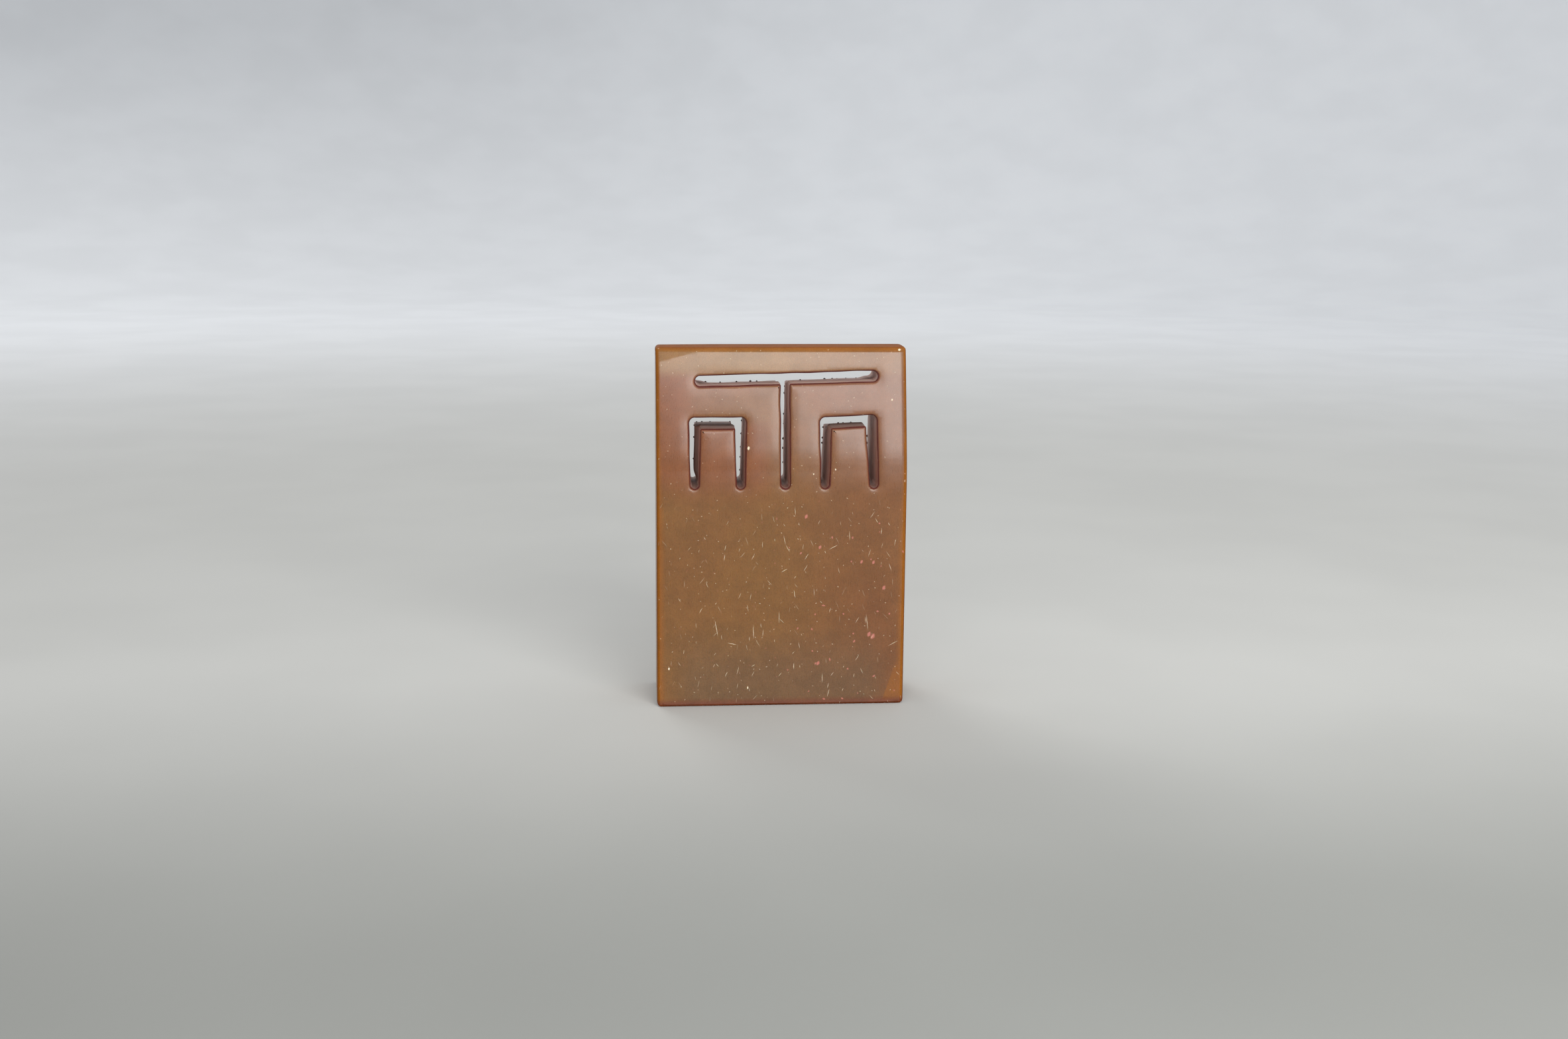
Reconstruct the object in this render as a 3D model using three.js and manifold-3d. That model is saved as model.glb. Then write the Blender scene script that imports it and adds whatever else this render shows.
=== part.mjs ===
// A carved seal stone with a pierced, leaning top, and the dried vermilion paste left in its seal face.
// Millimetres, +Z up. The stone stands on its seal face: the origin is the middle of the foot, +X is to
// the right seen from the front and the front faces -Y.

import * as THREE from 'three';
import { mergeVertices } from 'three/addons/utils/BufferGeometryUtils.js';
import Module from 'manifold-3d';

const wasm = await Module();
wasm.setup();

// Driving sizes of the block
const stoneHeight = 66;
const footWidth = 46;
const topWidth = 45.4;
const stoneDepth = 17;
const topDepth = 7.5;
const uprightEdgeRadius = 0.9;
const topEdgeRadius = 0.7;
const footChamfer = 0.5;

// Heights of the pierced openings, from the top down: the brow bar, the two eyes, the feet of the legs
const browDrop = 5.8;
const eyeDrop = 13.5;
const legFootDrop = 24.5;
const shoulderRise = 2.5;
const browRise = 0.9;
const rightEyeRise = 0.35;

// Places of the openings across the front, from the sides of the block or from its middle
const leftBrowMargin = 8.2;
const rightBrowMargin = 6.4;
const leftEyeMargin = 7.1;
const rightEyeMargin = 6.8;
const leftEyeSpan = 8.3;
const rightEyeSpan = 8.4;
const noseOffset = 0.5;
const legSplay = 0.45;

// Widths of the cuts, and the polished roll at their rims
const browCut = 2.5;
const noseCut = 2.2;
const eyeBarCut = 2.6;
const legCut = 2.1;
const rimWidth = 1.1;
const rimDepth = 0.6;

// The seal face: a border and a row of squared spirals stand in relief over a sunk ground
const groundDepth = 1;
const borderWidth = 1.7;
const spiralCount = 4;
const pasteThickness = 0.25;
const pasteClearance = 0.3;

// Fineness of the faceted surfaces
const cornerSteps = 5;
const rimSteps = 3;
const roundEndSteps = 8;
const sideSteps = 4;
const proudOverrun = 1;
const mergeDistance = 1e-5;

// Places worked out from the driving sizes
const browHeight = stoneHeight - browDrop;
const eyeHeight = stoneHeight - eyeDrop;
const legFootHeight = stoneHeight - legFootDrop;
const shoulderHeight = legFootHeight + shoulderRise;
const halfFootWidth = footWidth / 2;
const leftOuterLegX = leftEyeMargin - halfFootWidth;
const leftInnerLegX = leftOuterLegX + leftEyeSpan;
const rightOuterLegX = halfFootWidth - rightEyeMargin;
const rightInnerLegX = rightOuterLegX - rightEyeSpan;

// Half the width and half the depth of the block at a height above the foot
function halfWidthAt(z) {
  return THREE.MathUtils.lerp(footWidth, topWidth, z / stoneHeight) / 2;
}

function halfDepthAt(z) {
  const lean = Math.max(0, (z - shoulderHeight) / (stoneHeight - shoulderHeight));
  return THREE.MathUtils.lerp(stoneDepth, topDepth, lean) / 2;
}

// A closed solid from equal rings of points, with a fan of triangles at each end. Seen from the last ring,
// the points of every ring run anticlockwise, so that the faces point out.
function loft(rings, firstCentre, lastCentre) {
  const perRing = rings[0].length;
  const points = [firstCentre, ...rings.flat(), lastCentre];
  const lastIndex = points.length - 1;
  const index = [];
  for (let i = 0; i < perRing; i += 1) {
    const next = (i + 1) % perRing;
    index.push(0, 1 + next, 1 + i);
    for (let ring = 0; ring < rings.length - 1; ring += 1) {
      const here = 1 + ring * perRing;
      const there = here + perRing;
      index.push(here + i, here + next, there + next);
      index.push(here + i, there + next, there + i);
    }
    const end = 1 + (rings.length - 1) * perRing;
    index.push(end + i, end + next, lastIndex);
  }
  const geometry = new THREE.BufferGeometry();
  geometry.setAttribute('position', new THREE.Float32BufferAttribute(points.flat(), 3));
  geometry.setIndex(index);
  return geometry;
}

function toSolid(geometry) {
  const bare = geometry.clone();
  bare.deleteAttribute('normal');
  bare.deleteAttribute('uv');
  const merged = mergeVertices(bare, mergeDistance);
  const vertProperties = new Float32Array(merged.attributes.position.array);
  const triVerts = new Uint32Array(merged.index.array);
  return new wasm.Manifold(new wasm.Mesh({ numProp: 3, vertProperties, triVerts }));
}

function toGeometry(solid) {
  const mesh = solid.getMesh();
  const geometry = new THREE.BufferGeometry();
  geometry.setAttribute('position', new THREE.Float32BufferAttribute(mesh.vertProperties, 3));
  geometry.setIndex(new THREE.Uint32BufferAttribute(mesh.triVerts, 1));
  geometry.computeVertexNormals();
  return geometry;
}

// One level section of the block: a rectangle with rounded upright edges, drawn in by an inset
function sectionAt(z, levelOfSection, inset) {
  const radius = uprightEdgeRadius;
  const cornerX = halfWidthAt(levelOfSection) - inset - radius;
  const cornerY = halfDepthAt(levelOfSection) - inset - radius;
  const ring = [];
  for (let corner = 0; corner < 4; corner += 1) {
    const sideX = corner === 0 || corner === 3 ? 1 : -1;
    const sideY = corner < 2 ? 1 : -1;
    for (let step = 0; step <= cornerSteps; step += 1) {
      const angle = (corner + step / cornerSteps) * Math.PI / 2;
      const x = sideX * cornerX + radius * Math.cos(angle);
      const y = sideY * cornerY + radius * Math.sin(angle);
      ring.push([x, y, z]);
    }
  }
  return ring;
}

// The whole block: chamfered foot, upright lower part, leaning upper part and rounded top edge
function makeBlock() {
  const topEdgeStart = stoneHeight - topEdgeRadius;
  const rings = [
    sectionAt(0, footChamfer, footChamfer),
    sectionAt(footChamfer, footChamfer, 0),
    sectionAt(shoulderHeight, shoulderHeight, 0),
  ];
  for (let step = 0; step <= cornerSteps; step += 1) {
    const angle = step / cornerSteps * Math.PI / 2;
    const z = topEdgeStart + topEdgeRadius * Math.sin(angle);
    const inset = topEdgeRadius * (1 - Math.cos(angle));
    rings.push(sectionAt(z, topEdgeStart, inset));
  }
  return toSolid(loft(rings, [0, 0, 0], [0, 0, stoneHeight]));
}

// The outline of one cut seen from the front: two round ends of their own radii joined by straight sides.
// A cut is given as { from: [x, z], to: [x, z], fromWidth, toWidth }, and growth widens it all round.
function cutOutline(cut, growth) {
  const [fromX, fromZ] = cut.from;
  const [toX, toZ] = cut.to;
  const heading = Math.atan2(toZ - fromZ, toX - fromX);
  const outline = [];
  const ends = [
    { x: toX, z: toZ, radius: cut.toWidth / 2 + growth, start: heading - Math.PI / 2 },
    { x: fromX, z: fromZ, radius: cut.fromWidth / 2 + growth, start: heading + Math.PI / 2 },
  ];
  for (const [turn, end] of ends.entries()) {
    for (let step = 0; step <= roundEndSteps; step += 1) {
      const angle = end.start + step / roundEndSteps * Math.PI;
      outline.push([end.x + end.radius * Math.cos(angle), end.z + end.radius * Math.sin(angle)]);
    }
    const [lastX, lastZ] = outline[outline.length - 1];
    const other = ends[1 - turn];
    const nextX = other.x + other.radius * Math.cos(other.start);
    const nextZ = other.z + other.radius * Math.sin(other.start);
    for (let step = 1; step < sideSteps; step += 1) {
      const share = step / sideSteps;
      outline.push([
        THREE.MathUtils.lerp(lastX, nextX, share),
        THREE.MathUtils.lerp(lastZ, nextZ, share),
      ]);
    }
  }
  return outline;
}

// One cut as a solid that goes right through the block, with a quarter-round flare at each face
function makeCut(cut) {
  const levels = [{ depth: -proudOverrun, growth: rimWidth }];
  for (let step = 0; step <= rimSteps; step += 1) {
    const angle = Math.PI / 2 * (1 - step / rimSteps);
    levels.push({ depth: rimDepth * (1 - Math.sin(angle)), growth: rimWidth * (1 - Math.cos(angle)) });
  }
  const ringAt = (level, side) => cutOutline(cut, level.growth)
    .map(([x, z]) => [x, side * (halfDepthAt(z) - level.depth), z]);
  const back = levels.map((level) => ringAt(level, 1));
  const front = levels.map((level) => ringAt(level, -1)).reverse();
  const middleX = (cut.from[0] + cut.to[0]) / 2;
  const middleZ = (cut.from[1] + cut.to[1]) / 2;
  const middleY = halfDepthAt(middleZ) + proudOverrun;
  return toSolid(loft([...back, ...front], [middleX, middleY, middleZ], [middleX, -middleY, middleZ]));
}

// An eye: a bar across the top and a leg down from each of its ends
function eyeCuts(leftX, rightX, barHeight, barRise, leftSplay, rightSplay) {
  const leftTop = [leftX, barHeight];
  const rightTop = [rightX, barHeight + barRise];
  return [
    { from: leftTop, to: rightTop, fromWidth: eyeBarCut, toWidth: eyeBarCut },
    { from: [leftX + leftSplay, legFootHeight], to: leftTop, fromWidth: legCut, toWidth: legCut },
    { from: [rightX + rightSplay, legFootHeight], to: rightTop, fromWidth: legCut, toWidth: eyeBarCut },
  ];
}

function allCuts() {
  const browFrom = [leftBrowMargin - halfFootWidth, browHeight - browRise / 2];
  const browTo = [halfFootWidth - rightBrowMargin, browHeight + browRise / 2];
  const brow = { from: browFrom, to: browTo, fromWidth: browCut, toWidth: browCut };
  const noseFoot = [noseOffset, legFootHeight];
  const noseTop = [noseOffset, browHeight];
  const nose = { from: noseFoot, to: noseTop, fromWidth: noseCut, toWidth: noseCut };
  return [
    brow,
    nose,
    ...eyeCuts(leftOuterLegX, leftInnerLegX, eyeHeight, 0, 0, 0),
    ...eyeCuts(rightInnerLegX, rightOuterLegX, eyeHeight, rightEyeRise, 0, legSplay),
  ];
}

// The seal face is divided into cells: a spiral is 7 cells square with a cell of ground all round it
const spiralCells = 7;
const cellsAcross = spiralCount * (spiralCells + 1) + 1;
const cellsDeep = spiralCells + 2;
const groundWidth = footWidth - 2 * (footChamfer + borderWidth);
const groundLength = stoneDepth - 2 * (footChamfer + borderWidth);
const cellX = groundWidth / cellsAcross;
const cellY = groundLength / cellsDeep;

// A block over whole cells of the seal face, between two heights and grown sideways by a clearance
function cellBlock(fromColumn, fromRow, toColumn, toRow, low, high, growth) {
  const sizeX = (toColumn - fromColumn) * cellX + 2 * growth;
  const sizeY = (toRow - fromRow) * cellY + 2 * growth;
  const geometry = new THREE.BoxGeometry(sizeX, sizeY, high - low);
  const middleX = (fromColumn + toColumn) / 2 * cellX - groundWidth / 2;
  const middleY = (fromRow + toRow) / 2 * cellY - groundLength / 2;
  geometry.translate(middleX, middleY, (low + high) / 2);
  return toSolid(geometry);
}

// The corner cells of one squared spiral, from its outer end inwards. Each winding lies a line and a gap
// further in than the one before.
const outerCell = spiralCells - 1;
const winding = 2;
const innerCell = outerCell - winding;
const spiralTurns = [
  [0, outerCell], [outerCell, outerCell], [outerCell, 0], [0, 0],
  [0, innerCell], [innerCell, innerCell], [innerCell, winding], [winding, winding],
];

// The straight runs of one spiral as blocks of cells. Every second spiral is mirrored.
function spiralRuns(place) {
  const firstColumn = 1 + place * (spiralCells + 1);
  const mirrored = place % 2 === 1;
  const column = (turn) => firstColumn + (mirrored ? outerCell - turn : turn);
  const runs = [];
  for (let turn = 0; turn < spiralTurns.length - 1; turn += 1) {
    const columns = [column(spiralTurns[turn][0]), column(spiralTurns[turn + 1][0])];
    const rows = [1 + spiralTurns[turn][1], 1 + spiralTurns[turn + 1][1]];
    const low = [Math.min(...columns), Math.min(...rows)];
    const high = [Math.max(...columns) + 1, Math.max(...rows) + 1];
    runs.push([...low, ...high]);
  }
  return runs;
}

// The sunk ground with the spirals left standing, drawn in from every wall by a clearance
function makeGround(low, high, clearance) {
  let ground = cellBlock(0, 0, cellsAcross, cellsDeep, low, high, -clearance);
  for (let place = 0; place < spiralCount; place += 1) {
    for (const run of spiralRuns(place)) {
      ground = ground.subtract(cellBlock(...run, low - proudOverrun, high + proudOverrun, clearance));
    }
  }
  return ground;
}

function makeStone() {
  let stone = makeBlock();
  for (const cut of allCuts()) {
    stone = stone.subtract(makeCut(cut));
  }
  return stone.subtract(makeGround(-proudOverrun, groundDepth, 0));
}

function makePaste() {
  return makeGround(groundDepth - pasteThickness, groundDepth, pasteClearance);
}

const stoneMaterial = new THREE.MeshStandardMaterial({ color: 0x8a6748, roughness: 0.28, metalness: 0 });
const pasteMaterial = new THREE.MeshStandardMaterial({ color: 0xa32a1c, roughness: 0.8, metalness: 0 });

const sealStone = new THREE.Mesh(toGeometry(makeStone()), stoneMaterial);
sealStone.name = 'seal_stone';

const vermilionPaste = new THREE.Mesh(toGeometry(makePaste()), pasteMaterial);
vermilionPaste.name = 'vermilion_paste';

const sealStamp = new THREE.Group();
sealStamp.add(sealStone, vermilionPaste);

export default sealStamp;
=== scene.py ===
import math
import random

import bmesh
import bpy
from mathutils import Matrix, Vector, noise


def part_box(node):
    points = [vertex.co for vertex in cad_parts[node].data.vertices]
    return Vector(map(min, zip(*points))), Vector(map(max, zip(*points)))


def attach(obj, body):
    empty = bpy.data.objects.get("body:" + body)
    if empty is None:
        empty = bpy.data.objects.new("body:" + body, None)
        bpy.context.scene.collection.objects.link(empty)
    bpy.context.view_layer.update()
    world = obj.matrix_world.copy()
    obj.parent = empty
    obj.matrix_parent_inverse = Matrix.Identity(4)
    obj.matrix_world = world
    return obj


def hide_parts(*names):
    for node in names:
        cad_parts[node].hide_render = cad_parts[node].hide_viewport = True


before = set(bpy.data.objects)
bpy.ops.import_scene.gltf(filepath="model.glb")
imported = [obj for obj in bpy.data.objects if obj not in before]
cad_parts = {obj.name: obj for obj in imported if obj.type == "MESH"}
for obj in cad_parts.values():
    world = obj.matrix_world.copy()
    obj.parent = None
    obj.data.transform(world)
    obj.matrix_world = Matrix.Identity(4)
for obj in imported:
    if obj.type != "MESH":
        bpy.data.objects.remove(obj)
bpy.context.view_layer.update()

# The stone as the frame gives it. X runs across the front, Y from front to back, Z up from the seal face.
MM = 0.001
STONE_HIGH = Vector(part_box("seal_stone")[1])
HALF_WIDTH = STONE_HIGH.x
HALF_DEPTH = STONE_HIGH.y
HEIGHT = STONE_HIGH.z
TOP_HALF_WIDTH = 22.87 * MM
TOP_HALF_DEPTH = 3.75 * MM
LEFT_TOP_DIP = 0.1 * MM

# Worn edges of the block, and into how many strips each is rounded
UPRIGHT_EDGE_RADIUS = 0.65 * MM
UPRIGHT_EDGE_STRIPS = 6
TOP_EDGE_RADIUS = 0.65 * MM
TOP_EDGE_STRIPS = 5
FOOT_EDGE_RADIUS = 0.45 * MM
FOOT_EDGE_STRIPS = 3

# Heights of the slots, measured down from the top
BROW_HEIGHT = HEIGHT - 5.65 * MM
EYE_HEIGHT = HEIGHT - 13.5 * MM
LEG_FOOT_HEIGHT = HEIGHT - 24.5 * MM
SHOULDER_HEIGHT = LEG_FOOT_HEIGHT + 2.5 * MM
BROW_RISE = 0.9 * MM
RIGHT_EYE_RISE = 0.35 * MM
SHOULDER_SOFTNESS = 4 * MM
SHOULDER_STRIPS = 8

# Places of the slots across the front
BROW_LEFT = 8.2 * MM - HALF_WIDTH
BROW_RIGHT = HALF_WIDTH - 6.4 * MM
LEFT_EYE_OUTER = 7.1 * MM - HALF_WIDTH
LEFT_EYE_INNER = LEFT_EYE_OUTER + 8.3 * MM
RIGHT_EYE_OUTER = HALF_WIDTH - 6.8 * MM
RIGHT_EYE_INNER = RIGHT_EYE_OUTER - 8.4 * MM
NOSE_OFFSET = 0.5 * MM
LEG_SPLAY = 0.45 * MM

# Widths of the slots, and the rolls polished on their rims, which widen each slot to its full width
RIM_ROLL = 0.45 * MM
REAR_ROLL = 0.25 * MM
TONGUE_ROLL = 0.25 * MM
ROLL_ROOM = 0.54 * MM
ROLL_STRIPS = 4
BROW_WIDTH = 2.5 * MM - ROLL_ROOM
NOSE_WIDTH = 2.2 * MM - ROLL_ROOM
EYE_BAR_WIDTH = 2.6 * MM - ROLL_ROOM
LEG_WIDTH = 2.1 * MM - ROLL_ROOM
BLADE_SIDES = 32
BLADE_REACH = HALF_DEPTH + 2 * MM

# The seal face: a border and a row of squared spirals left standing over a sunk ground of whole cells
GROUND_DEPTH = 1 * MM
BORDER_WIDTH = 1.7 * MM
SPIRAL_COUNT = 4
SPIRAL_CELLS = 7
CELLS_ACROSS = SPIRAL_COUNT * (SPIRAL_CELLS + 1) + 1
CELLS_DEEP = SPIRAL_CELLS + 2
BORDER_INSET = 0.5 * MM
GROUND_WIDTH = 2 * (HALF_WIDTH - BORDER_INSET - BORDER_WIDTH)
GROUND_LENGTH = 2 * (HALF_DEPTH - BORDER_INSET - BORDER_WIDTH)
CELL_X = GROUND_WIDTH / CELLS_ACROSS
CELL_Y = GROUND_LENGTH / CELLS_DEEP
RELIEF_EDGE = 0.12 * MM
RELIEF_EDGE_STRIPS = 2
RELIEF_WOBBLE = 0.09 * MM
RELIEF_WOBBLE_FREQUENCY = 900
PASTE_PARTS_PER_CELL = 3
PASTE_THICKNESS = 0.2 * MM
PASTE_LUMPS = 0.3 * MM
PASTE_LUMP_FREQUENCY = 1400
PASTE_CLEARANCE = 0.07 * MM
PASTE_SEAT = 0.04 * MM

# Order of the stone's materials, and how far the rubbed one reaches from the top and from the sides
POLISHED_SLOT, SAWN_SLOT, STAINED_SLOT, RUBBED_SLOT, DIRT_SLOT = range(5)
RUBBED_TOP_REACH = 0.9 * MM
RUBBED_EDGE_REACH = 0.8 * MM

# How points, edges and faces are told: by their place, and by how far they face along one direction
PLACE_REACH = 0.02 * MM
SHOULDER_REACH = 0.05 * MM
TOP_REACH = 0.3 * MM
FOOT_REACH = 0.05 * MM
BESIDE_SLOT_REACH = 0.3 * MM
WALL_REACH = 0.15 * MM
RIDGE_REACH = 0.1 * MM
BELOW_SLOTS_ROOM = 3 * MM
SEAL_MARGIN = 0.6 * MM
SEAL_REACH = 1.1 * GROUND_DEPTH
FULLY_FACING = 0.99
MOSTLY_FACING = 0.9
HARDLY_FACING = 0.3
WALL_FACING = 0.1
TONGUE_CORNER_ANGLE = math.radians(50)

# The rows of cuts laid over the stone, and how close points have to lie to be joined
GRID_STEP = 1.2 * MM
UPPER_GRID_STEP = 0.6 * MM
GRID_OFFSET = 0.37
CORNER_ARC_SHARES = (1, 0.6, 0.3, 0.1)
SLOT_WELD = 0.04 * MM
GRID_WELD = 0.015 * MM

# What polishing did to the faces: a bulge and a twist, edges that fall off, and a hollow round the slots
LEAN_BULGE = 0.33 * MM
LEAN_TWIST = 0.25 * MM
FACE_CROWN = 0.16 * MM
CROWN_REACH = 4.5 * MM
RIGHT_EDGE_FALL = 0.36 * MM
LEFT_EDGE_FALL = 0.05 * MM
EDGE_FALL_REACH = 2 * MM
TOP_CROWN = 0.05 * MM
PILLOW_DEPTH = 0.13 * MM
PILLOW_REACH = 2 * MM

# The worn corners of the front's outline, and by what share less round the top ones are at the back
FOOT_CORNER_RADIUS = 1.1 * MM
TOP_CORNER_RADIUS = 0.7 * MM
REAR_CORNER_SHARPNESS = 0.6

# The small facet at the top left corner: its lower edge, how far that rises along X, and how steep it is
CORNER_FACET_LEVEL = 63.2 * MM
CORNER_FACET_RUN = 0.26
CORNER_FACET_SLOPE = 0.3
CORNER_FACET_EDGE = 0.35 * MM

# The noise that makes relief and saw unsteady starts from the clock if it gets no seed
NOISE_SEED = 1
noise.seed_set(NOISE_SEED)

# The unsteady saw, and the ridge where the cuts from the front and from behind meet
SAW_WOBBLE = 0.13 * MM
SAW_WOBBLE_FREQUENCY = 230
SAW_WOBBLE_SHIFT = 3 * MM
WOBBLE_REACH = 2.2 * MM
MEETING_DEPTH = -1.5 * MM
MEETING_RIDGE = 0.14 * MM

# How much lower, and farther left, the slots were cut from behind than from the front
REAR_RUN = 1.3 * MM
BROW_DROP = 0.4 * MM
LEFT_TONGUE_DROP = 0.5 * MM
RIGHT_TONGUE_DROP = 0.95 * MM
FOOT_DROP = 0.5 * MM
TONGUE_OVERHANG = 0.6 * MM
DROP_REACH = 2.2 * MM

# Chips along the foot and on the upright edges, with radii and spread of places in millimetres
CHIP_SEED = 11
CHIP_STEP = 1.7 * MM
CHIP_STEP_SPREAD = (0.7, 1.6)
CHIP_MARGIN = 2 * MM
CHIP_LEVEL = -0.12 * MM
CHIP_RADII = (0.2, 0.36)
EDGE_CHIP_LEVELS = (9 * MM, 27 * MM, 41 * MM)
EDGE_CHIP_SPREAD = (-4, 4)

# Crumbs of dirt along the rear rims of the slots, with depths and radii in millimetres
CRUMB_SEED = 5
CRUMB_STEP = 2.2 * MM
CRUMB_STEP_SPREAD = (0.4, 1.4)
CRUMB_START_SPREAD = (0.2, 0.8)
CRUMB_DEPTHS = (0.35, 0.6)
CRUMB_RADII = (0.16, 0.27)
CRUMB_SLACK = 0.05 * MM
CRUMB_OVERSIZE = 1.01


# Hand tools: small wrappers so that each step starts from a known selection
def work_on(obj):
    if bpy.context.object is not None and bpy.context.object.mode != "OBJECT":
        bpy.ops.object.mode_set(mode="OBJECT")
    bpy.ops.object.select_all(action="DESELECT")
    obj.select_set(True)
    bpy.context.view_layer.objects.active = obj


def pick(obj, kind, wanted):
    """Select in edit mode the vertices, edges or faces of obj that the test wants."""
    work_on(obj)
    bpy.ops.object.mode_set(mode="EDIT")
    bpy.ops.mesh.select_mode(type=kind)
    bpy.ops.mesh.select_all(action="DESELECT")
    mesh = bmesh.from_edit_mesh(obj.data)
    mesh.normal_update()
    for item in {"VERT": mesh.verts, "EDGE": mesh.edges, "FACE": mesh.faces}[kind]:
        if wanted(item):
            item.select_set(True)
    mesh.select_flush_mode()
    bmesh.update_edit_mesh(obj.data)


def everything(item):
    return True


def object_mode():
    bpy.ops.object.mode_set(mode="OBJECT")


def settle(obj):
    """Put the object's place, turn and size into its mesh."""
    work_on(obj)
    bpy.ops.object.transform_apply(location=True, rotation=True, scale=True)


def slice_at(obj, point, normal, where=everything):
    """Cut the wanted faces that a plane meets, without taking anything away."""
    pick(obj, "FACE", where)
    bpy.ops.mesh.bisect(plane_co=point, plane_no=normal, use_fill=False, clear_inner=False, clear_outer=False)
    object_mode()


def apply_modifier(obj, kind, **settings):
    modifier = obj.modifiers.new(kind.title(), kind)
    for key, value in settings.items():
        setattr(modifier, key, value)
    work_on(obj)
    bpy.ops.object.modifier_apply(modifier=modifier.name)


def weld(obj, reach):
    """Join points that lie closer than reach, and drop the loose edges that this leaves."""
    pick(obj, "VERT", everything)
    bpy.ops.mesh.remove_doubles(threshold=reach)
    bpy.ops.mesh.select_all(action="SELECT")
    bpy.ops.mesh.delete_loose(use_verts=True, use_edges=True, use_faces=False)
    object_mode()


def join_balls(balls):
    """One object of many small rough balls, each given as (place, radius, turn)."""
    bpy.ops.object.select_all(action="DESELECT")
    made = []
    for place, radius, turn in balls:
        bpy.ops.mesh.primitive_ico_sphere_add(subdivisions=1, radius=radius, location=place, rotation=turn)
        made.append(bpy.context.object)
    for ball in made:
        ball.select_set(True)
    bpy.ops.object.join()
    joined = bpy.context.object
    settle(joined)
    return joined


def combine(stone, tool, operation):
    """Take the tool's shape out of the stone, or add it, and put the tool away."""
    apply_modifier(stone, "BOOLEAN", operation=operation, solver="MANIFOLD", object=tool)
    bpy.data.objects.remove(tool)


def near(value, target, reach=PLACE_REACH):
    return abs(value - target) < reach


def ease(share):
    """0 below 0, 1 above 1 and a smooth rise between."""
    share = min(1.0, max(0.0, share))
    return share * share * (3 - 2 * share)


# The block: upright foot part and a leaning upper part, with all its outer edges worn round
def half_width_at(z):
    return HALF_WIDTH + (TOP_HALF_WIDTH - HALF_WIDTH) * z / HEIGHT


def half_depth_at(z):
    lean = max(0.0, (z - SHOULDER_HEIGHT) / (HEIGHT - SHOULDER_HEIGHT))
    return HALF_DEPTH + (TOP_HALF_DEPTH - HALF_DEPTH) * lean


def model_block():
    bpy.ops.object.select_all(action="DESELECT")
    bpy.ops.mesh.primitive_cube_add(size=1, location=(0, 0, HEIGHT / 2))
    block = bpy.context.object
    block.name = "carved_stone"
    block.scale = (2 * HALF_WIDTH, 2 * HALF_DEPTH, HEIGHT)
    settle(block)
    slice_at(block, (0, 0, SHOULDER_HEIGHT), (0, 0, 1))

    for height, half_depth in ((SHOULDER_HEIGHT, HALF_DEPTH), (HEIGHT, TOP_HALF_DEPTH)):
        pick(block, "VERT", lambda v: near(v.co.z, height))
        shares = (half_width_at(height) / HALF_WIDTH, half_depth / HALF_DEPTH, 1)
        bpy.ops.transform.resize(value=shares, center_override=(0, 0, height))
    pick(block, "VERT", lambda v: near(v.co.z, HEIGHT) and v.co.x < 0)
    bpy.ops.transform.translate(value=(0, 0, -LEFT_TOP_DIP))

    def upright(edge):
        run = edge.verts[0].co - edge.verts[1].co
        return abs(run.z) > abs(run.x) + abs(run.y) and abs(edge.verts[0].co.x) > HALF_WIDTH / 2

    def around(height, reach):
        return lambda e: all(near(v.co.z, height, reach) for v in e.verts)

    for wanted, radius, strips in (
        (upright, UPRIGHT_EDGE_RADIUS, UPRIGHT_EDGE_STRIPS),
        (around(SHOULDER_HEIGHT, SHOULDER_REACH), SHOULDER_SOFTNESS, SHOULDER_STRIPS),
        (around(HEIGHT, TOP_REACH), TOP_EDGE_RADIUS, TOP_EDGE_STRIPS),
        (around(0, FOOT_REACH), FOOT_EDGE_RADIUS, FOOT_EDGE_STRIPS),
    ):
        pick(block, "EDGE", wanted)
        bpy.ops.mesh.bevel(offset=radius, segments=strips, affect="EDGES", clamp_overlap=False)
    object_mode()
    return block


# The seal face. A cell is counted by its column and row from the left front corner of the ground
OUTER_CELL = SPIRAL_CELLS - 1
INNER_CELL = OUTER_CELL - 2
SPIRAL_TURNS = (
    (0, OUTER_CELL), (OUTER_CELL, OUTER_CELL), (OUTER_CELL, 0), (0, 0),
    (0, INNER_CELL), (INNER_CELL, INNER_CELL), (INNER_CELL, 2), (2, 2),
)


def relief_cells():
    """The cells of the ground that a spiral fills. Every second spiral is mirrored."""
    cells = set()
    for place in range(SPIRAL_COUNT):
        for (column0, row0), (column1, row1) in zip(SPIRAL_TURNS, SPIRAL_TURNS[1:]):
            for column in range(min(column0, column1), max(column0, column1) + 1):
                for row in range(min(row0, row1), max(row0, row1) + 1):
                    across = OUTER_CELL - column if place % 2 else column
                    cells.add((1 + place * (SPIRAL_CELLS + 1) + across, 1 + row))
    return cells


RELIEF_CELLS = relief_cells()


def is_ground(place):
    column = math.floor((place.x + GROUND_WIDTH / 2) / CELL_X)
    row = math.floor((place.y + GROUND_LENGTH / 2) / CELL_Y)
    inside = 0 <= column < CELLS_ACROSS and 0 <= row < CELLS_DEEP
    return inside and (column, row) not in RELIEF_CELLS


def is_seal_face(face):
    return face.normal.z < -FULLY_FACING and all(near(v.co.z, 0) for v in face.verts)


def is_relief_edge(edge):
    if len(edge.link_faces) != 2 or not all(near(v.co.z, 0) for v in edge.verts):
        return False
    facing = sorted(face.normal.z for face in edge.link_faces)
    return facing[0] < -FULLY_FACING and abs(facing[1]) < WALL_FACING


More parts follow.
